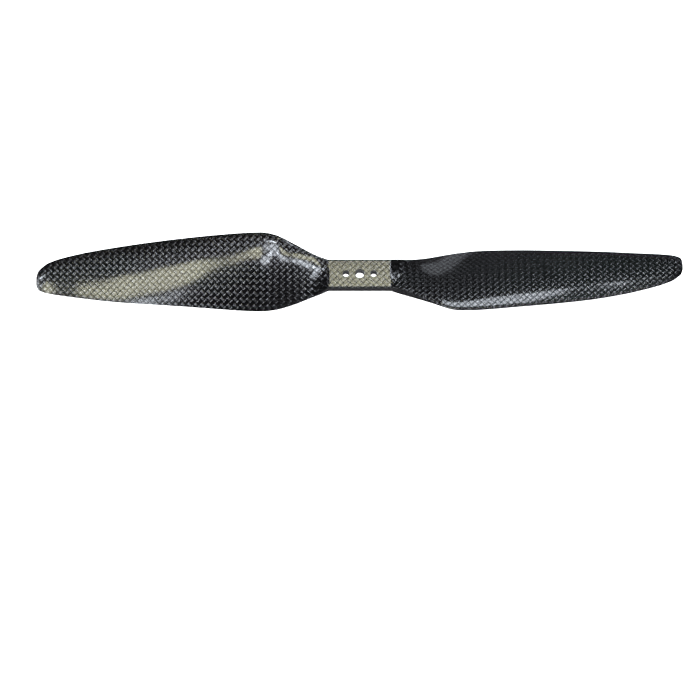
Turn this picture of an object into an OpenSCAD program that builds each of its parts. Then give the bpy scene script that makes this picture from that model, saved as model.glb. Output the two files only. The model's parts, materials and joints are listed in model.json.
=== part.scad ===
// Fixed-pitch two-blade propeller, moulded from carbon cloth over a light core.
// Origin: axis of the centre bore, on the underside of the hub. +Z is the thrust
// direction and +X runs along one blade. It turns clockwise seen from above.

/* [Propeller] */
// Tip-to-tip diameter
diameter = 279.4; // [250:0.2:320]
// Blade width relative to the station table
chord_scale = 1; // [0.85:0.01:1.15]
// Blade twist relative to the station table
pitch_scale = 1; // [0.6:0.02:1.2]
// Blade thickness relative to the station table
thickness_scale = 1; // [1:0.05:1.3]
// Section camber as a share of the chord
camber = 0.026; // [0.01:0.002:0.044]

/* [Hub] */
// Length of the flat hub along the blades
hub_length = 27; // [25:0.5:31]
// Width of the hub
hub_width = 13.2; // [11:0.2:15]
// Height of the hub from seat to clamp face
hub_height = 4.6; // [4.2:0.1:6]
// Rounding along the long edges of the hub
hub_edge_r = 0.6; // [0.3:0.1:0.9]

/* [Bores] */
// Motor shaft bore
shaft_bore_d = 4; // [3:0.5:6]
// Bolt holes
bolt_hole_d = 3; // [2:0.5:3.5]
// Distance between the two bolt holes
bolt_spacing = 12; // [11:0.5:14]

/* [Laminate] */
// Woven skin
skin_t = 0.25; // [0.2:0.01:0.28]
// Unidirectional spar cap
cap_t = 0.25; // [0.15:0.01:0.28]
// Hub doubler
doubler_t = 0.7; // [0.4:0.1:0.9]
// Thickness of the trailing edge
trailing_edge_t = 0.35; // [0.3:0.05:0.6]

/* [Hidden] */
$fn = 64;
skin_color = "#1b1c1e";
strip_color = "#26282b";
filler_color = "#33363a";
foam_color = "#e6dcc0";

tip_r = diameter / 2;
hub_end = hub_length / 2;
mid_z = hub_height / 2;
glue = 0.04;                    // resin line between two pieces

// The blade from the hub end (share 0) to the tip (share 1). The offsets run from
// the blade axis to the leading and the trailing edge, the heights from the middle
// of the hub.
// share, leading offset, trailing offset, leading height, trailing height, thickness
blade_table = [
    [0,     hub_width / 2, hub_width / 2, 0, 0, hub_height],
    [0.030,  8.00,  7.65, 1.30, -3.30, 4.45],
    [0.064,  9.85,  8.65, 2.30, -5.50, 4.20],
    [0.115, 13.00, 10.55, 3.80, -7.65, 3.75],
    [0.167, 16.05, 12.30, 5.20, -8.85, 3.30],
    [0.201, 17.50, 13.10, 5.25, -8.85, 3.05],
    [0.235, 18.05, 13.60, 5.10, -8.30, 2.85],
    [0.304, 17.80, 13.90, 4.85, -6.60, 2.55],
    [0.441, 16.25, 13.40, 4.65, -4.35, 2.10],
    [0.578, 14.40, 12.65, 3.95, -3.00, 1.80],
    [0.715, 12.00, 11.85, 3.35, -2.00, 1.50],
    [0.852,  8.55, 10.45, 3.65, -0.50, 1.20],
    [0.955,  4.50,  9.05, 3.90,  1.05, 0.90],
    [0.993,  0.80,  7.50, 3.20,  1.75, 0.70],
    [1,     -1.60,  5.60, 2.80,  2.25, 0.60]
];

// Stations of the loft as shares: close together at the root and at the tip
root_share = 0.25;
tip_share = 0.9;
stations = [
    for (i = [0:10]) root_share * i / 11,
    for (i = [0:9]) root_share + (tip_share - root_share) * i / 10,
    for (i = [0:8]) tip_share + (1 - tip_share) * (1 - pow(1 - i / 8, 2))
];
blend_share = 0.17;             // the hub section has become the blade section here
last_station = len(stations) - 1;
wedge_end = 6;                  // station numbers at which the inner pieces end
strip_end = 16;
core_end = 18;
tow_end = 19;
tip_fill_end = 21;

// Chordwise lines of a section run from 0 at the leading edge to the last line at
// the trailing edge. Counted from the nearer edge, line 1 tops the hub's side wall
// and line 3 ends the rounding of the hub's edge.
last_line = 17;
wall_line = 1;
round_line = 3;
hub_spread = 0.6;               // below 1 draws the middle lines apart on the hub
tow_line = 4;
core_line = 5;
cap_line = 6;
cap_last_line = 10;
strip_line = 11;
strip_last_line = 12;

last_row = len(blade_table) - 1;
function row_slope(k, c) =
    let (a = blade_table[max(k - 1, 0)], b = blade_table[min(k + 1, last_row)])
    (b[c] - a[c]) / (b[0] - a[0]);
function row_below(f, k = 0) =
    (k == last_row - 1 || blade_table[k + 1][0] > f) ? k : row_below(f, k + 1);
// Column c of the table at share f, on a smooth curve through the rows
function along(f, c) =
    let (k = row_below(f), a = blade_table[k], b = blade_table[k + 1],
         w = b[0] - a[0], t = (f - a[0]) / w)
    (2 * t^3 - 3 * t^2 + 1) * a[c] + (t^3 - 2 * t^2 + t) * w * row_slope(k, c)
    + (3 * t^2 - 2 * t^3) * b[c] + (t^3 - t^2) * w * row_slope(k + 1, c);
function smooth(t) = let (s = min(max(t, 0), 1)) s * s * (3 - 2 * s);
function mix(a, b, t) = a + (b - a) * t;

// Thickness form of the blade section, 1 at its thickest
function thickness_form(u) =
    10 * (0.2969 * sqrt(u) - 0.1260 * u - 0.3516 * u^2 + 0.2843 * u^3 - 0.1036 * u^4);
function camber_form(u) =
    let (p = 0.42) u < p ? (2 * p * u - u^2) / p^2 : (1 - 2 * p + 2 * p * u - u^2) / (1 - p)^2;

// A section at share f: [x, leading y, leading z, chord direction y, z, chord,
// half thickness, share of the blade form in it]
function section(f) =
    let (half_hub = hub_width / 2, form = smooth(f / blend_share),
         lead_y = -(half_hub + chord_scale * (along(f, 1) - half_hub)),
         trail_y = half_hub + chord_scale * (along(f, 2) - half_hub),
         dz = (along(f, 4) - along(f, 3)) * pitch_scale,
         middle = (along(f, 3) + along(f, 4)) / 2,
         chord = norm([trail_y - lead_y, dz]),
         half_t = along(f, 5) / 2 * mix(1, thickness_scale, form))
    [mix(hub_end, tip_r, f), lead_y, mid_z + middle - dz / 2,
     (trail_y - lead_y) / chord, dz / chord, chord, half_t, form];

// Chord share of line i in the blade section: close together at both edges
function blade_u(i) = (1 - cos(180 * i / last_line)) / 2;
function from_edge(i) = min(i, last_line - i);
function share_between(a, b, x) = min(max((x - a) / (b - a), 0), 1);

// Chord share of line i of a section
function line_u(s, i) =
    let (r = hub_edge_r / s[5], e = from_edge(i), middle = last_line / 2,
         round = 90 * share_between(wall_line, round_line, e),
         out = pow(share_between(middle, round_line, e), hub_spread),
         hub = e < round_line ? r * (1 - cos(round)) : 0.5 - (0.5 - r) * out)
    mix(i < middle ? hub : 1 - hub, blade_u(i), s[7]);

// Height of the outer surface over the camber line on line i
function line_h(s, i) =
    let (e = from_edge(i), r = hub_edge_r, u = blade_u(i),
         hub = (s[6] - r) * share_between(0, wall_line, e)
             + r * sin(90 * share_between(wall_line, round_line, e)),
         blade = e == 0 ? 0 : s[6] * thickness_form(u) + trailing_edge_t / 2 * u)
    max(glue / 2, mix(hub, blade, s[7]));

// Height left for the inner pieces under the skin
function inner_h(s, i) = line_h(s, i) - skin_t - glue;

// Point of a section at chord share u and height h over the camber line
function place(s, u, h) =
    let (n = h + camber * camber_form(min(max(u, 0), 1)) * s[5] * s[7])
    [s[0], s[1] + u * s[5] * s[3] - n * s[4], s[2] + u * s[5] * s[4] + n * s[3]];

// Rows of points, one row a station, for a profile of [chord share, height] pairs.
// side is 1 for the upper surface and -1 for the lower.
function place_row(s, profile, side) = [for (p = profile) place(s, p[0], side * p[1])];
function turned(row) = [for (j = [len(row) - 1:-1:0]) [-row[j][0], -row[j][1], row[j][2]]];
function both_blades(rows) =
    concat([for (k = [len(rows) - 1:-1:0]) turned(rows[k])], rows);

function skin_outside(s) = [for (i = [0:last_line]) [line_u(s, i), line_h(s, i)]];
function skin_inside(s) =
    let (edge = skin_t / s[5])
    [for (i = [0:last_line])
        [min(max(line_u(s, i), edge), 1 - edge), max(glue / 2, line_h(s, i) - skin_t)]];
function cap_outside(s) =
    [for (i = [cap_line:cap_last_line]) [line_u(s, i), inner_h(s, i)]];
function cap_inside(s) =
    [for (i = [cap_line:cap_last_line]) [line_u(s, i), inner_h(s, i) - cap_t]];
// Filler between the caps and, beside them, between the skins, from line a to line b
function under_caps(s, a, b) =
    let (g = glue / s[5], sink = cap_t + glue)
    [[line_u(s, a) + g, inner_h(s, a)],
     for (i = [a + 1:1:cap_line - 1]) [line_u(s, i), inner_h(s, i)],
     [line_u(s, cap_line) - 2 * g, inner_h(s, cap_line)],
     [line_u(s, cap_line) - g, inner_h(s, cap_line) - sink],
     for (i = [cap_line + 1:cap_last_line - 1]) [line_u(s, i), inner_h(s, i) - sink],
     [line_u(s, cap_last_line) + g, inner_h(s, cap_last_line) - sink],
     [line_u(s, cap_last_line) + 2 * g, inner_h(s, cap_last_line)],
     for (i = [cap_last_line + 1:1:b - 1]) [line_u(s, i), inner_h(s, i)],
     [line_u(s, b) - g, inner_h(s, b)]];
function between_skins(s, a, b) =
    let (g = glue / s[5])
    [[line_u(s, a), inner_h(s, a)],
     for (i = [a + 1:1:b - 1]) [line_u(s, i), inner_h(s, i)],
     [line_u(s, b), inner_h(s, b)]];

// Sections from station a to station b, the first one a glue line further out
function span(a, b) =
    [for (k = [a:b]) section(stations[k] + (k == a ? glue / (tip_r - hub_end) : 0))];

// Solid between two sheets of points, rows along +X and points along +Y
module sheet_solid(top, bottom) {
    rows = len(top);
    cols = len(top[0]);
    low = rows * cols;
    polyhedron(
        points = [for (r = top) each r, for (r = bottom) each r],
        faces = [
            for (r = [0:rows - 2], c = [0:cols - 2])
                let (a = r * cols + c, b = a + cols)
                each [[a, a + 1, b + 1], [a, b + 1, b],
                      [low + a, low + b + 1, low + a + 1], [low + a, low + b, low + b + 1]],
            for (r = [0:rows - 2])
                let (a = r * cols, b = a + cols, c = b - 1, d = c + cols)
                each [[a, b, low + b], [a, low + b, low + a],
                      [c, low + c, low + d], [c, low + d, d]],
            for (c = [0:cols - 2])
                let (z = (rows - 1) * cols + c)
                each [[c + 1, c, low + c], [c + 1, low + c, low + c + 1],
                      [z, z + 1, low + z + 1], [z, low + z + 1, low + z]]
        ],
        convexity = 6);
}

module bores() {
    translate([0, 0, -1]) cylinder(d = shaft_bore_d, h = hub_height + 2);
    for (side = [-1, 1])
        translate([side * bolt_spacing / 2, 0, -1]) cylinder(d = bolt_hole_d, h = hub_height + 2);
}

// Flat hub layer from height z0 to height z1
module hub_layer(z0, z1) {
    width = hub_width - 2 * (skin_t + glue);
    difference() {
        translate([-hub_end, -width / 2, z0]) cube([hub_length, width, z1 - z0]);
        bores();
    }
}

module left() rotate([0, 0, 180]) children();

whole = [for (f = stations) section(f)];
cap_span = [for (k = [0:core_end]) section(stations[k])];
cap_top = hub_height - skin_t - glue;
doubler_top = cap_top - cap_t - glue;
block_top = doubler_top - doubler_t - glue;

// A skin or a cap over both blades and the hub; side is 1 above and -1 below
module laid_sheet(outside, inside, side) {
    difference() {
        if (side > 0) sheet_solid(both_blades(outside), both_blades(inside));
        else sheet_solid(both_blades(inside), both_blades(outside));
        bores();
    }
}

module upper_skin() {
    color(skin_color) laid_sheet(
        [for (s = whole) place_row(s, skin_outside(s), 1)],
        [for (s = whole) place_row(s, skin_inside(s), 1)], 1);
}

module lower_skin() {
    color(skin_color) laid_sheet(
        [for (s = whole) place_row(s, skin_outside(s), -1)],
        [for (s = whole) place_row(s, skin_inside(s), -1)], -1);
}

module upper_spar_cap() {
    color(strip_color) laid_sheet(
        [for (s = cap_span) place_row(s, cap_outside(s), 1)],
        [for (s = cap_span) place_row(s, cap_inside(s), 1)], 1);
}

module lower_spar_cap() {
    color(strip_color) laid_sheet(
        [for (s = cap_span) place_row(s, cap_outside(s), -1)],
        [for (s = cap_span) place_row(s, cap_inside(s), -1)], -1);
}

module upper_hub_doubler() {
    color(strip_color) hub_layer(doubler_top - doubler_t, doubler_top);
}

module lower_hub_doubler() {
    color(strip_color)
        hub_layer(hub_height - doubler_top, hub_height - doubler_top + doubler_t);
}

module hub_block() {
    color(filler_color) hub_layer(hub_height - block_top, block_top);
}

module right_root_wedge() {
    ss = span(0, wedge_end);
    color(filler_color) sheet_solid(
        [for (s = ss) place_row(s, under_caps(s, tow_line, strip_last_line), 1)],
        [for (s = ss) place_row(s, under_caps(s, tow_line, strip_last_line), -1)]);
}

module right_blade_core() {
    ss = span(wedge_end, core_end);
    color(foam_color) sheet_solid(
        [for (s = ss) place_row(s, under_caps(s, core_line, strip_line), 1)],
        [for (s = ss) place_row(s, under_caps(s, core_line, strip_line), -1)]);
}

// Filler whose surfaces follow both skins, from station a to b and line i to j
module skin_filler(a, b, i, j) {
    ss = span(a, b);
    sheet_solid([for (s = ss) place_row(s, between_skins(s, i, j), 1)],
                [for (s = ss) place_row(s, between_skins(s, i, j), -1)]);
}

module right_leading_edge_tow() {
    color(strip_color) skin_filler(wedge_end, tow_end, tow_line, core_line);
}

module right_trailing_edge_strip() {
    color(filler_color) skin_filler(wedge_end, strip_end, strip_line, strip_last_line);
}

module right_tip_plies() {
    color(strip_color) skin_filler(core_end, tip_fill_end, core_line, strip_line);
}

module left_root_wedge() { left() right_root_wedge(); }
module left_blade_core() { left() right_blade_core(); }
module left_leading_edge_tow() { left() right_leading_edge_tow(); }
module left_trailing_edge_strip() { left() right_trailing_edge_strip(); }
module left_tip_plies() { left() right_tip_plies(); }

upper_skin();
lower_skin();
upper_spar_cap();
lower_spar_cap();
upper_hub_doubler();
lower_hub_doubler();
hub_block();
right_root_wedge();
left_root_wedge();
right_blade_core();
left_blade_core();
right_leading_edge_tow();
left_leading_edge_tow();
right_trailing_edge_strip();
left_trailing_edge_strip();
right_tip_plies();
left_tip_plies();
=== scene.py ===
"""A two-blade carbon-fibre propeller on a pale floor, in metres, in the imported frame.

The moulded skins are lofted by Geometry Nodes along a spine of blade stations. Each
skin is a closed thin shell of its own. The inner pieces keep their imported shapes.
"""

import json
import math

import bpy
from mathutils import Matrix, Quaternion, Vector


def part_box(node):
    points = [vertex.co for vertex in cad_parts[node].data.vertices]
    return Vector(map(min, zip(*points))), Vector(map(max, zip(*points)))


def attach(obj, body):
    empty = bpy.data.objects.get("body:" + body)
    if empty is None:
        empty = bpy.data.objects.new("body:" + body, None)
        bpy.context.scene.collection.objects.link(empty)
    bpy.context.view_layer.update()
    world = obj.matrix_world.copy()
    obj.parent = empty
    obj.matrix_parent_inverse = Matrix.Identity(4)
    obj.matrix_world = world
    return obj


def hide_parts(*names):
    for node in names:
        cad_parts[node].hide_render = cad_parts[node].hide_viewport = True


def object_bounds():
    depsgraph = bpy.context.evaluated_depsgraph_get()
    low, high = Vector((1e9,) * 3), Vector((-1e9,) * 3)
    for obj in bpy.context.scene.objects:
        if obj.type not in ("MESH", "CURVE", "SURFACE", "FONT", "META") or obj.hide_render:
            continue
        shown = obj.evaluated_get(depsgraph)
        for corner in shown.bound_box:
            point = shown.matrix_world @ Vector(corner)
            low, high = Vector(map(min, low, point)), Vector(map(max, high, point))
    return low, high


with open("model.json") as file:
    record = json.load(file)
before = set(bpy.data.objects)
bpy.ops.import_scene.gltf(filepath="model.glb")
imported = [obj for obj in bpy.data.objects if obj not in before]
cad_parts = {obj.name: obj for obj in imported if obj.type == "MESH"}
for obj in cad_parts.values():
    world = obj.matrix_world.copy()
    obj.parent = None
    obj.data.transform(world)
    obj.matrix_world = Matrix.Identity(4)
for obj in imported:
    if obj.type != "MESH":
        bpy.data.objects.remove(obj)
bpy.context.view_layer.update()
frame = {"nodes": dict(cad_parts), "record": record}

MM = 0.001

# The hub and the span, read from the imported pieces. The hub block lies as far above
# the hub's underside as it lies below its top.
HUB_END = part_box("hub_block")[1].x
HUB_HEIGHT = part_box("hub_block")[1].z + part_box("hub_block")[0].z
TIP_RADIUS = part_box("upper_skin")[1].x

# Sizes of the holes and of the laminate
HUB_EDGE_RADIUS = 0.6 * MM
SHAFT_BORE = 4.0 * MM
BOLT_HOLE = 3.0 * MM
BOLT_SPACING = 12.0 * MM
SHAFT_SIDES = 96        # flats that stand for a round hole
BOLT_SIDES = 72
SKIN = 0.25 * MM        # wall of a skin
GLUE = 0.04 * MM        # resin line between the two skins' edges
TRAILING_EDGE = 0.35 * MM
WELD = 0.002 * MM       # points closer than this become one

# The blade's section
CAMBER = 0.026          # share of the chord
CAMBER_PEAK = 0.42      # share of the chord, counted from the leading edge
BLEND_SHARE = 0.17      # share of the blade over which the hub's box turns into it
HUB_RING_SHARE = -0.004  # a ring just inside the hub, where its flats end
HUB_SPREAD = 0.6        # below 1, lines crowd towards the edges of the hub
LAST_LINE = 17          # spaces across a section; line 1 tops the hub's wall,
ROUND_LINE = 3          # and line 3 ends the rounding of the hub's edge
DRAWN_LINES = 64.0      # spaces drawn across a shown skin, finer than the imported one's

SHARP_BEND = math.radians(38)

# The cloth
TOW = 2.0 * MM          # width of one strand bundle
WEAVE_RISE = 0.14 * MM  # how far a bundle seems to stand over the ones it crosses
STRANDS_IN_TOW = 16
SINK_AT_SIDES = 0.9     # share of its height that a bundle loses at its sides

# The blade from the hub end (share 0) to the tip (share 1), in millimetres: offsets
# from the blade axis to the leading and the trailing edge, their heights over the
# middle of the hub, and the thickness.
BLADE_TABLE = [
    # share, leading, trailing, leading height, trailing height, thickness
    (0.000, 6.60, 6.60, 0.00, 0.00, 4.60),
    (0.030, 8.00, 7.65, 1.30, -3.30, 4.45),
    (0.064, 9.85, 8.65, 2.30, -5.50, 4.20),
    (0.115, 13.00, 10.55, 3.80, -7.65, 3.75),
    (0.167, 16.05, 12.30, 5.20, -8.85, 3.30),
    (0.201, 17.50, 13.10, 5.25, -8.85, 3.05),
    (0.235, 18.05, 13.60, 5.10, -8.30, 2.85),
    (0.304, 17.80, 13.90, 4.85, -6.60, 2.55),
    (0.441, 16.25, 13.40, 4.65, -4.35, 2.10),
    (0.578, 14.40, 12.65, 3.95, -3.00, 1.80),
    (0.715, 12.00, 11.85, 3.35, -2.00, 1.50),
    (0.852, 8.55, 10.45, 3.65, -0.50, 1.20),
    (0.955, 4.50, 9.05, 3.90, 1.05, 0.90),
    (0.993, 0.80, 7.50, 3.20, 1.75, 0.70),
    (1.000, -1.60, 5.60, 2.80, 2.25, 0.60),
]
LEADING, TRAILING, LEADING_Z, TRAILING_Z, THICKNESS = range(1, 6)


# ---------------------------------------------------------------- blade stations

def row_slope(row, column):
    """Slope of the smooth curve through a column of the blade table at one of its rows."""
    before = BLADE_TABLE[max(row - 1, 0)]
    after = BLADE_TABLE[min(row + 1, len(BLADE_TABLE) - 1)]
    return (after[column] - before[column]) / (after[0] - before[0])


def along(share, column):
    """A column of the blade table at a share of the blade, in metres."""
    share = max(share, 0.0)
    row = 0
    while row < len(BLADE_TABLE) - 2 and BLADE_TABLE[row + 1][0] <= share:
        row += 1
    start, end = BLADE_TABLE[row], BLADE_TABLE[row + 1]
    width = end[0] - start[0]
    t = (share - start[0]) / width
    value = (
        (2 * t**3 - 3 * t**2 + 1) * start[column]
        + (t**3 - 2 * t**2 + t) * width * row_slope(row, column)
        + (3 * t**2 - 2 * t**3) * end[column]
        + (t**3 - t**2) * width * row_slope(row + 1, column)
    )
    return value * MM


def smooth(t):
    t = min(max(t, 0.0), 1.0)
    return t * t * (3 - 2 * t)


def station_shares():
    """Shares at which the blade is lofted: close together at the root and the tip.

    The first is a ring just inside the hub, where its flat faces end.
    """
    root_stretch, root_rings = 0.25, 50
    middle_stretch, middle_rings = 0.65, 50
    tip_start, tip_stretch, tip_rings = 0.9, 0.1, 36
    root = [root_stretch * i / root_rings for i in range(root_rings)]
    middle = [root_stretch + middle_stretch * i / middle_rings for i in range(middle_rings)]
    tip = [tip_start + tip_stretch * (1 - (1 - i / tip_rings) ** 2)
           for i in range(tip_rings + 1)]
    return [HUB_RING_SHARE] + root + middle + tip


def make_spine():
    """Points along the leading edge, each carrying the measures of its section."""
    places, across, half, form, turn, wall = [], [], [], [], [], []
    shares = station_shares()
    stops = [(s, -1.0) for s in reversed(shares)] + [(s, 1.0) for s in shares]
    for share, side in stops:
        lead = Vector((
            HUB_END + (TIP_RADIUS - HUB_END) * share,
            -along(share, LEADING),
            HUB_HEIGHT / 2 + along(share, LEADING_Z),
        ))
        trail = Vector((
            lead.x,
            along(share, TRAILING),
            HUB_HEIGHT / 2 + along(share, TRAILING_Z),
        ))
        places.append(lead)
        across.append(trail - lead)
        half.append(along(share, THICKNESS) / 2)
        form.append(smooth(share / BLEND_SHARE))
        turn.append(side)
        wall.append(0.0 if share == 1.0 else SKIN)
    mesh = bpy.data.meshes.new("spine")
    mesh.from_pydata(places, [], [])
    store = mesh.attributes.new("across", "FLOAT_VECTOR", "POINT")
    for i, vector in enumerate(across):
        store.data[i].vector = vector
    for name, values in (("half", half), ("form", form), ("turn", turn), ("wall", wall)):
        store = mesh.attributes.new(name, "FLOAT", "POINT")
        for i, value in enumerate(values):
            store.data[i].value = value
    return mesh


# ------------------------------------------------------------------ node helpers

class Value:
    """A number that varies over a mesh or a surface, with ordinary arithmetic."""

    def __init__(self, net, socket):
        self.net = net
        self.socket = socket

    def __add__(self, other):
        return self.net.maths("ADD", self, other)

    def __sub__(self, other):
        return self.net.maths("SUBTRACT", self, other)

    def __rsub__(self, other):
        return self.net.maths("SUBTRACT", other, self)

    def __mul__(self, other):
        return self.net.maths("MULTIPLY", self, other)

    def __truediv__(self, other):
        return self.net.maths("DIVIDE", self, other)

    def __pow__(self, other):
        return self.net.maths("POWER", self, other)

    __radd__ = __add__
    __rmul__ = __mul__


class Net:
    """Adds nodes to a shader tree or a geometry tree."""

    def __init__(self, tree):
        self.tree = tree

    def node(self, kind, settings=None, inputs=None):
        """A node of this kind. Settings come first, then values or links by socket."""
        made = self.tree.nodes.new(kind)
        for name, value in (settings or {}).items():
            setattr(made, name, value)
        for key, value in (inputs or {}).items():
            self.feed(made.inputs[key], value)
        return made

    def feed(self, socket, value):
        if isinstance(value, (list, tuple)) and value and hasattr(value[0], "is_linked"):
            for one in value:
                self.tree.links.new(one, socket)
        elif isinstance(value, Value):
            self.tree.links.new(value.socket, socket)
        elif hasattr(value, "is_linked"):
            self.tree.links.new(value, socket)
        else:
            socket.default_value = value

    def value(self, socket):
        return Value(self, socket)

    def maths(self, operation, *terms):
        made = self.node("ShaderNodeMath", {"operation": operation}, dict(enumerate(terms)))
        return Value(self, made.outputs[0])

    def clamped(self, x, low=0.0, high=1.0):
        return self.maths("MAXIMUM", self.maths("MINIMUM", x, high), low)

    def blend(self, a, b, t):
        return a + (b - a) * t

    def parts(self, vector):
        made = self.node("ShaderNodeSeparateXYZ", inputs={0: vector})
        return [Value(self, made.outputs[i]) for i in range(3)]


# ------------------------------------------------------------- lofting the skins

# Inputs of the geometry tree and their defaults. Side is 1 for the upper skin and -1
# for the lower one.
SKIN_INPUTS = {
    "Side": 1.0, "Lines": DRAWN_LINES, "Stations": 2.0, "Hub Height": HUB_HEIGHT,
    "Hub Edge Radius": HUB_EDGE_RADIUS, "Camber": CAMBER, "Trailing Edge": TRAILING_EDGE,
    "Glue": GLUE, "Shaft Bore": SHAFT_BORE, "Bolt Hole": BOLT_HOLE,
    "Bolt Spacing": BOLT_SPACING,
}


def skin_tree():
    """Geometry tree that lofts one skin along the spine and drills the hub."""
    tree = bpy.data.node_groups.new("moulded_skin", "GeometryNodeTree")
    face = tree.interface
    face.new_socket("Geometry", in_out="INPUT", socket_type="NodeSocketGeometry")
    for name, default in SKIN_INPUTS.items():
        face.new_socket(name, in_out="INPUT", socket_type="NodeSocketFloat").default_value = default
    face.new_socket("Material", in_out="INPUT", socket_type="NodeSocketMaterial")
    face.new_socket("Geometry", in_out="OUTPUT", socket_type="NodeSocketGeometry")
    net = Net(tree)
    given = net.node("NodeGroupInput").outputs
    size = {name: net.value(given[name]) for name in SKIN_INPUTS}
    lines = size["Lines"]

    # A flat grid: one row a station, and across it a ring that runs over the outside
    # of the skin and back along its inside. The ring's last point meets its first.
    ring = lines * 2 + 2
    grid = net.node("GeometryNodeMeshGrid", inputs={
        "Size X": size["Stations"] - 1, "Size Y": ring,
        "Vertices X": size["Stations"], "Vertices Y": ring + 1,
    })
    place = net.parts(net.node("GeometryNodeInputPosition").outputs[0])
    station = net.maths("ROUND", place[0] + (size["Stations"] - 1) / 2)
    step = net.maths("ROUND", place[1] + ring / 2)
    going = net.maths("LESS_THAN", step, lines + 0.5)
    back = (1 - going) * net.maths("LESS_THAN", step, ring - 0.5)
    outside = 1 - back

    def carried(name, kind="FLOAT"):
        """A measure of the spine at this vertex's station."""
        field = net.node("GeometryNodeInputNamedAttribute", {"data_type": kind}, {"Name": name})
        taken = net.node("GeometryNodeSampleIndex", {"data_type": kind}, {
            "Geometry": given["Geometry"], "Value": field.outputs[0], "Index": station,
        })
        return taken.outputs[0]

    across = carried("across", "FLOAT_VECTOR")
    half, form, turn, wall = [net.value(carried(n)) for n in ("half", "form", "turn", "wall")]
    lead_place = net.node("GeometryNodeSampleIndex", {"data_type": "FLOAT_VECTOR"}, {
        "Geometry": given["Geometry"], "Index": station,
        "Value": net.node("GeometryNodeInputPosition").outputs[0],
    })
    lead_x, lead_y, lead_z = net.parts(lead_place.outputs[0])
    chord = net.value(net.node("ShaderNodeVectorMath", {"operation": "LENGTH"},
                               {0: across}).outputs["Value"])
    across_y, across_z = net.parts(across)[1:]
    run_y = across_y / chord
    run_z = across_z / chord

    # Line of the section, 0 at the leading edge; the turned blade counts it back
    line = step * going + (ring - 1 - step) * back
    turned = net.maths("LESS_THAN", turn, 0.0)
    line = net.blend(line, lines - line, turned) / lines * LAST_LINE
    edge = net.maths("MINIMUM", line, LAST_LINE - line)
    wall_share = net.clamped(edge)
    round_share = net.clamped((edge - 1) / (ROUND_LINE - 1))
    middle_share = net.clamped((edge - LAST_LINE / 2) / (ROUND_LINE - LAST_LINE / 2))

    # Chord share and height over the camber line: the hub's rounded box, the blade's
    # streamlined form, and a blend of the two at the root
    radius = size["Hub Edge Radius"]
    round_angle = round_share * (math.pi / 2)
    hub_edge_u = radius / chord * (1 - net.maths("COSINE", round_angle))
    hub_top_u = 0.5 - (0.5 - radius / chord) * middle_share ** HUB_SPREAD
    on_edge = net.maths("LESS_THAN", edge, float(ROUND_LINE))
    hub_u = net.blend(hub_top_u, hub_edge_u, on_edge)
    far_side = net.maths("GREATER_THAN", line, LAST_LINE / 2)
    hub_u = net.blend(hub_u, 1 - hub_u, far_side)
    hub_h = (half - radius) * wall_share + radius * net.maths("SINE", round_angle)
    blade_u = 0.5 - net.maths("COSINE", line * (math.pi / LAST_LINE)) * 0.5
    root_u = net.maths("SQRT", net.clamped(blade_u))
    streamlined = (
        root_u * 2.969 - blade_u * 1.260 - blade_u ** 2 * 3.516
        + blade_u ** 3 * 2.843 - blade_u ** 4 * 1.036
    )
    open_edge = net.maths("GREATER_THAN", edge, 0.0001)
    blade_h = (half * streamlined + size["Trailing Edge"] * 0.5 * blade_u) * open_edge
    u = net.blend(hub_u, blade_u, form)
    seam = size["Glue"] / 2
    h = net.maths("MAXIMUM", net.blend(hub_h, blade_h, form), seam)
    inner_u = net.maths("MINIMUM", net.maths("MAXIMUM", u, wall / chord), 1 - wall / chord)
    inner_h = net.maths("MAXIMUM", h - wall, seam)
    u = net.blend(inner_u, u, outside)
    h = net.blend(inner_h, h, outside)

    # Place on the section, then the turned blade goes half way round the bore axis
    ahead = (u * (2 * CAMBER_PEAK) - u ** 2) / CAMBER_PEAK ** 2
    behind = (u * (2 * CAMBER_PEAK) - u ** 2 + (1 - 2 * CAMBER_PEAK)) / (1 - CAMBER_PEAK) ** 2
    arch = net.blend(ahead, behind, net.maths("GREATER_THAN", u, CAMBER_PEAK))
    rise = h * size["Side"] + arch * size["Camber"] * chord * form
    y = lead_y + u * across_y - rise * run_z
    z = lead_z + u * across_z + rise * run_y
    spot = net.node("ShaderNodeCombineXYZ", inputs={0: lead_x * turn, 1: y * turn, 2: z})
    lofted = net.node("GeometryNodeSetPosition", inputs={
        "Geometry": grid.outputs["Mesh"], "Position": spot.outputs[0],
    })

    # The cloth's own coordinates: distance along the blade and around the section
    outwards = net.maths("SIGN", u - 0.5)
    drape = (lead_y / run_y + u * chord + outwards * (half - h) * (1 - form)) * turn * size["Side"]
    cloth = net.node("ShaderNodeCombineXYZ", inputs={0: lead_x * turn, 1: drape})
    marked = net.node("GeometryNodeStoreNamedAttribute",
                      {"data_type": "FLOAT2", "domain": "CORNER"},
                      {"Geometry": grid.outputs["Mesh"], "Name": "UVMap",
                       "Value": cloth.outputs[0]})
    net.feed(lofted.inputs["Geometry"], marked.outputs[0])
    closed = net.node("GeometryNodeMergeByDistance", inputs={
        "Geometry": lofted.outputs[0], "Distance": WELD,
    })
    faced = net.node("GeometryNodeFlipFaces", inputs={
        "Mesh": closed.outputs[0],
        "Selection": net.maths("LESS_THAN", size["Side"], 0.0),
    })

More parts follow.
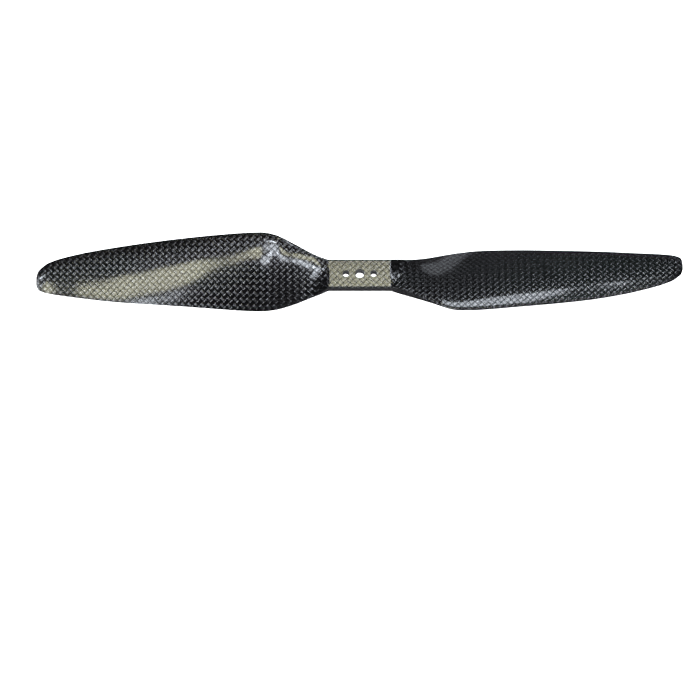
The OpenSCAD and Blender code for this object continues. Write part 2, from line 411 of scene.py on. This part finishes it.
    # Drills: one for the shaft and a row of two for the bolts
    depth = size["Hub Height"] * 3
    shaft = net.node("GeometryNodeMeshCylinder", inputs={
        "Vertices": SHAFT_SIDES, "Radius": size["Shaft Bore"] / 2, "Depth": depth})
    bolt = net.node("GeometryNodeMeshCylinder", inputs={
        "Vertices": BOLT_SIDES, "Radius": size["Bolt Hole"] / 2, "Depth": depth})
    first = net.node("ShaderNodeCombineXYZ", inputs={0: size["Bolt Spacing"] * -0.5})
    pitch = net.node("ShaderNodeCombineXYZ", inputs={0: size["Bolt Spacing"]})
    row = net.node("GeometryNodeMeshLine", inputs={
        "Count": 2, "Start Location": first.outputs[0], "Offset": pitch.outputs[0]})
    bolts = net.node("GeometryNodeInstanceOnPoints", inputs={
        "Points": row.outputs[0], "Instance": bolt.outputs["Mesh"]})
    solid_bolts = net.node("GeometryNodeRealizeInstances",
                           inputs={"Geometry": bolts.outputs[0]})
    drilled = net.node("GeometryNodeMeshBoolean",
                       {"operation": "DIFFERENCE", "solver": "MANIFOLD"},
                       {"Mesh 1": faced.outputs[0],
                        "Mesh 2": [shaft.outputs["Mesh"], solid_bolts.outputs[0]]})
    # A drill that meets a line of the skin leaves slivers, which this takes away
    deburred = net.node("GeometryNodeMergeByDistance", inputs={
        "Geometry": drilled.outputs["Mesh"], "Distance": WELD,
    })

    # Smooth all over but for edges that bend more than SHARP_BEND, such as the rims and the parting
    # edges
    smoothed = net.node("GeometryNodeSetShadeSmooth", {"domain": "FACE"}, {
        "Geometry": deburred.outputs[0], "Shade Smooth": True})
    bend = net.value(net.node("GeometryNodeInputMeshEdgeAngle").outputs["Unsigned Angle"])
    crisp = net.maths("GREATER_THAN", bend, SHARP_BEND)
    creased = net.node("GeometryNodeSetShadeSmooth", {"domain": "EDGE"}, {
        "Geometry": smoothed.outputs[0], "Selection": crisp, "Shade Smooth": False})
    real = net.node("GeometryNodeRealizeInstances", inputs={"Geometry": creased.outputs[0]})
    finished = net.node("GeometryNodeSetMaterial", inputs={
        "Geometry": real.outputs[0], "Material": given["Material"]})
    net.node("NodeGroupOutput", inputs={"Geometry": finished.outputs[0]})
    return tree


def make_skin(name, side, spine, tree, material):
    """Lofts one skin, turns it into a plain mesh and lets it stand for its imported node."""
    draft = bpy.data.objects.new(name + "_draft", spine)
    bpy.context.scene.collection.objects.link(draft)
    loft = draft.modifiers.new("loft", "NODES")
    loft.node_group = tree
    sizes = {"Side": side, "Stations": float(len(spine.vertices)), "Material": material}
    for socket in tree.interface.items_tree:
        if socket.in_out == "INPUT" and socket.name in sizes:
            loft[socket.identifier] = sizes[socket.name]
    graph = bpy.context.evaluated_depsgraph_get()
    mesh = bpy.data.meshes.new_from_object(draft.evaluated_get(graph))
    bpy.data.objects.remove(draft)
    mesh.name = name
    # The fibre directions are counted from a tangent that lies along the blades
    mesh.use_auto_texspace = False
    mesh.texspace_location = (0.0, -1000.0, 0.0)
    mesh.texspace_size = (1.0, 1.0, 1.0)
    piece = bpy.data.objects.new(name + "_shell", mesh)
    bpy.context.scene.collection.objects.link(piece)
    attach(piece, "root")
    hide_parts(name)
    return piece


# ---------------------------------------------------------------------- finishes

def new_material(name):
    material = bpy.data.materials.new(name)
    material.use_nodes = True
    material.node_tree.nodes.clear()
    return material, Net(material.node_tree)


def tint(net, dark, light, share):
    """A colour between two, at a share that varies."""
    made = net.node("ShaderNodeMix", {"data_type": "RGBA"}, {
        0: share, 6: (*dark, 1.0), 7: (*light, 1.0)})
    return made.outputs[2]


def show(net, shader):
    net.node("ShaderNodeOutputMaterial", inputs={"Surface": shader})


def cloth_of_carbon():
    """Plain-weave carbon cloth at 45 degrees to the blades, under a clear coat."""
    material, net = new_material("woven_carbon")
    cloth = net.parts(net.node("ShaderNodeUVMap", {"uv_map": "UVMap"}).outputs[0])
    diagonal = math.sqrt(2) * TOW
    p = (cloth[0] + cloth[1]) / diagonal
    q = (cloth[0] - cloth[1]) / diagonal
    cell_p = net.maths("FLOOR", p)
    cell_q = net.maths("FLOOR", q)
    in_p = p - cell_p
    in_q = q - cell_q
    over = net.maths("FLOORED_MODULO", cell_p + cell_q, 2.0)

    def bundle_height(lengthways, crossways):
        """A bundle lies flat over its neighbour, dives at its ends and sinks at its sides."""
        end = net.maths("ABSOLUTE", lengthways * 2 - 1)
        side = net.maths("ABSOLUTE", crossways * 2 - 1)
        return (1 - end ** 3) * (1 - side ** 4 * SINK_AT_SIDES)

    high_p = bundle_height(in_p, in_q)
    high_q = bundle_height(in_q, in_p)
    height = net.blend(high_q, high_p, over)
    bump = net.node("ShaderNodeBump", inputs={
        "Strength": 1.0, "Distance": WEAVE_RISE, "Height": height})

    def streaks(lengthways, crossways):
        """Strands along a bundle, seen as fine streaks."""
        spot = net.node("ShaderNodeCombineXYZ", inputs={
            0: lengthways * 0.7, 1: crossways * STRANDS_IN_TOW})
        noise = net.node("ShaderNodeTexNoise", {"noise_dimensions": "2D"}, {
            "Vector": spot.outputs[0], "Scale": 1.0, "Detail": 2.0})
        return net.value(noise.outputs[0])

    strand_p = streaks(p, q)
    strand_q = streaks(q, p)
    depth = net.clamped(height * 2.2)

    # The clear coat thins out between the bundles and pools in places
    wet = net.node("ShaderNodeTexNoise", {"noise_dimensions": "2D"}, {
        "Vector": net.node("ShaderNodeUVMap", {"uv_map": "UVMap"}).outputs[0],
        "Scale": 900.0, "Detail": 1.0})
    pooled = net.clamped((net.value(wet.outputs[0]) - 0.3) * 2.2)
    coat = net.clamped(height * 1.6) * 0.4 + pooled * 0.45 + 0.15

    # The two strand directions, in turns from the line of the blades
    shaders = []
    for strand, direction in ((strand_q, 0.125), (strand_p, 0.375)):
        share = net.clamped((strand - 0.3) * 1.6) * depth
        shaders.append(net.node("ShaderNodeBsdfPrincipled", inputs={
            "Base Color": tint(net, (0.006, 0.006, 0.007), (0.21, 0.21, 0.215), share),
            "Metallic": 1.0, "Roughness": 0.27, "Normal": bump.outputs[0],
            "Anisotropic": 0.9, "Anisotropic Rotation": direction,
            "Coat Weight": coat, "Coat Roughness": 0.10, "Coat IOR": 1.5,
        }).outputs[0])
    woven = net.node("ShaderNodeMixShader", inputs={0: over, 1: shaders[0], 2: shaders[1]})
    show(net, woven.outputs[0])
    return material


def strand_carbon():
    """Unidirectional strands in resin, as cut through by the bores."""
    material, net = new_material("strand_carbon")
    spot = net.node("ShaderNodeTexCoord").outputs["Object"]
    pulled = net.node("ShaderNodeMapping", inputs={0: spot, "Scale": (400.0, 6000.0, 9000.0)})
    noise = net.node("ShaderNodeTexNoise", inputs={
        "Vector": pulled.outputs[0], "Scale": 1.0, "Detail": 3.0})
    grain = net.value(noise.outputs[0])
    bump = net.node("ShaderNodeBump", inputs={
        "Strength": 0.4, "Distance": 0.00002, "Height": grain})
    shader = net.node("ShaderNodeBsdfPrincipled", inputs={
        "Base Color": tint(net, (0.012, 0.012, 0.014), (0.09, 0.092, 0.1), grain),
        "Roughness": grain * 0.3 + 0.35, "Normal": bump.outputs[0]})
    show(net, shader.outputs[0])
    return material


def solid_laminate():
    """Chopped fibre and resin: short flakes in a dark ground."""
    material, net = new_material("solid_laminate")
    spot = net.node("ShaderNodeTexCoord").outputs["Object"]
    cells = net.node("ShaderNodeTexVoronoi", inputs={"Vector": spot, "Scale": 1100.0})
    noise = net.node("ShaderNodeTexNoise", inputs={"Vector": spot, "Scale": 2500.0})
    flakes = net.value(cells.outputs["Distance"])
    grain = net.value(noise.outputs[0])
    bump = net.node("ShaderNodeBump", inputs={
        "Strength": 0.5, "Distance": 0.00003, "Height": flakes + grain * 0.3})
    shader = net.node("ShaderNodeBsdfPrincipled", inputs={
        "Base Color": tint(net, (0.02, 0.02, 0.022), (0.13, 0.13, 0.14), flakes * grain * 2),
        "Roughness": grain * 0.3 + 0.4, "Normal": bump.outputs[0]})
    show(net, shader.outputs[0])
    return material


def foam_core():
    """Closed-cell foam: small pale cells."""
    material, net = new_material("foam_core")
    spot = net.node("ShaderNodeTexCoord").outputs["Object"]
    cells = net.node("ShaderNodeTexVoronoi", inputs={"Vector": spot, "Scale": 2600.0})
    pits = net.value(cells.outputs["Distance"])
    bump = net.node("ShaderNodeBump", inputs={
        "Strength": 0.7, "Distance": 0.00006, "Height": pits})
    shader = net.node("ShaderNodeBsdfPrincipled", inputs={
        "Base Color": tint(net, (0.62, 0.52, 0.36), (0.86, 0.79, 0.62), pits * 1.5),
        "Roughness": pits * 0.2 + 0.7, "Normal": bump.outputs[0]})
    show(net, shader.outputs[0])
    return material


def pale_floor():
    """Matt white board that glows a little, and isn't counted among the lights."""
    material, net = new_material("pale_floor")
    material.cycles.emission_sampling = "NONE"
    spot = net.node("ShaderNodeTexCoord").outputs["Object"]
    noise = net.node("ShaderNodeTexNoise", inputs={"Vector": spot, "Scale": 40.0})
    shader = net.node("ShaderNodeBsdfPrincipled", inputs={
        "Base Color": tint(net, (0.93, 0.93, 0.93), (0.95, 0.95, 0.95), noise.outputs[0]),
        "Roughness": 0.9, "Specular IOR Level": 0.1,
        "Emission Color": (1.0, 1.0, 1.0, 1.0), "Emission Strength": 0.85})
    show(net, shader.outputs[0])
    return material


# ------------------------------------------------------------------------- build

spine = make_spine()
loft_tree = skin_tree()
woven = cloth_of_carbon()
make_skin("upper_skin", 1.0, spine, loft_tree, woven)
make_skin("lower_skin", -1.0, spine, loft_tree, woven)

finish_of_slot = {
    "woven_carbon": woven,
    "strand_carbon": strand_carbon(),
    "solid_laminate": solid_laminate(),
    "foam_core": foam_core(),
}
for entry in frame["record"]["subparts"]:
    node = frame["nodes"][entry["node"]]
    node.data.materials.clear()
    node.data.materials.append(finish_of_slot[entry["material_slot"]])


# ------------------------------------------------------- floor, light and camera

def make_backdrop():
    """A pale floor that sweeps up into a wall all round; gloss doesn't mirror it."""
    gap = 0.5 * MM
    flat, bend, wall_height = 1.2, 0.8, 3.0     # metres
    around, bend_steps = 96, 16
    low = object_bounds()[0].z - gap
    sweep = [(flat, 0.0)]
    for i in range(1, bend_steps + 1):
        angle = math.pi / 2 * i / bend_steps
        sweep.append((flat + math.sin(angle) * bend, (1 - math.cos(angle)) * bend))
    sweep.append((flat + bend, wall_height))
    points = [(0.0, 0.0, low)]
    for reach, height in sweep:
        for i in range(around):
            turn = 2 * math.pi * i / around
            points.append((reach * math.cos(turn), reach * math.sin(turn), low + height))
    faces = [(0, 1 + i, 1 + (i + 1) % around) for i in range(around)]
    for ring in range(len(sweep) - 1):
        start = 1 + ring * around
        for i in range(around):
            j = (i + 1) % around
            faces.append((start + i, start + around + i, start + around + j, start + j))
    mesh = bpy.data.meshes.new("backdrop")
    mesh.from_pydata(points, [], faces)
    mesh.shade_smooth()
    mesh.materials.append(pale_floor())
    backdrop = bpy.data.objects.new("backdrop", mesh)
    bpy.context.scene.collection.objects.link(backdrop)
    backdrop.visible_glossy = False
    backdrop.visible_shadow = False


def softbox(name, towards, wide, tall, brightness, colour, distance=6.0, above=0.0, lean=None):
    """A soft light as seen from a point on the propeller, "above" metres from the bore.

    "Towards" is the x and y of its direction, "wide" and "tall" are the angles that it
    fills, and the brightness is that of its face. A lean makes it an oval, tipped over
    by so many degrees.
    """
    x, y = towards
    direction = Vector((x, y, math.sqrt(1 - x * x - y * y)))
    lamp = bpy.data.lights.new(name, "AREA")
    lamp.shape = "RECTANGLE"
    lamp.size = distance * wide
    lamp.size_y = distance * tall
    lamp.energy = brightness * math.pi * lamp.size * lamp.size_y
    lamp.color = colour
    facing = direction.to_track_quat("Z", "Y")
    if lean is not None:
        lamp.shape = "ELLIPSE"
        facing = facing @ Quaternion((0.0, 0.0, 1.0), math.radians(lean))
    light = bpy.data.objects.new(name, lamp)
    light.location = direction * distance + Vector((above, 0.0, 0.0))
    light.rotation_euler = facing.to_euler()
    light.visible_camera = False
    bpy.context.scene.collection.objects.link(light)


COOL = (0.86, 0.92, 1.0)
WARM = (1.0, 0.98, 0.72)
make_backdrop()
softbox("front_lamp", (-0.02, -0.262), 0.105, 0.205, 8.0, WARM, lean=20.0)
softbox("front_window", (-0.26, -0.27), 0.17, 0.34, 11.5, COOL)
softbox("upper_star", (-0.19, -0.03), 0.07, 0.07, 34.0, COOL, lean=0.0)
softbox("lower_star", (-0.165, -0.35), 0.07, 0.07, 26.0, COOL, lean=0.0)
softbox("root_sheen", (-0.07, -0.42), 0.15, 0.12, 12.0, COOL, lean=0.0)
softbox("side_glint", (-0.74, 0.57), 0.12, 0.12, 20.0, COOL)
softbox("back_window", (0.07, 0.48), 0.26, 0.34, 9.0, COOL, distance=0.25, above=0.06)
softbox("back_lamp", (0.0, 0.335), 0.12, 0.09, 10.0, WARM, distance=0.5)
softbox("back_glint", (0.305, 0.77), 0.11, 0.09, 13.0, COOL)
softbox("back_low", (-0.03, 0.999), 0.42, 0.20, 1.0, COOL, lean=0.0)


def make_room():
    """A dim room: nearly dark overhead, a little brighter below, a pale wall in front."""
    world = bpy.data.worlds.new("room")
    world.use_nodes = True
    world.node_tree.nodes.clear()
    net = Net(world.node_tree)
    way = net.parts(net.node("ShaderNodeTexCoord").outputs["Generated"])
    below = net.clamped(way[2] * -3.0)
    level = net.clamped((0.42 - net.maths("ABSOLUTE", way[2])) * 5.0)
    in_front = net.clamped(way[1] * -2.5)
    pale = net.clamped(below * 0.3 + level * in_front)
    air = net.node("ShaderNodeBackground", inputs={
        "Color": tint(net, (0.04, 0.041, 0.043), (0.44, 0.448, 0.467), pale)})
    net.node("ShaderNodeOutputWorld", inputs={"Surface": air.outputs[0]})
    bpy.context.scene.world = world


make_room()

CAMERA_DISTANCE = 1.5
CAMERA_ELEVATION = math.radians(70)
SEEN_WIDTH = 0.3025                 # metres that the camera takes in at the propeller
LOOKED_AT = Vector((-0.0042, -0.0311, -0.0067))
camera_data = bpy.data.cameras.new("camera")
camera_data.sensor_width = 36.0
camera_data.lens = camera_data.sensor_width * CAMERA_DISTANCE / SEEN_WIDTH
camera = bpy.data.objects.new("camera", camera_data)
back_to_camera = Vector((0.0, -math.cos(CAMERA_ELEVATION), math.sin(CAMERA_ELEVATION)))
camera.location = LOOKED_AT + back_to_camera * CAMERA_DISTANCE
camera.rotation_euler = back_to_camera.to_track_quat("Z", "Y").to_euler()
bpy.context.scene.collection.objects.link(camera)
bpy.context.scene.camera = camera
bpy.context.scene.view_settings.view_transform = "Standard"
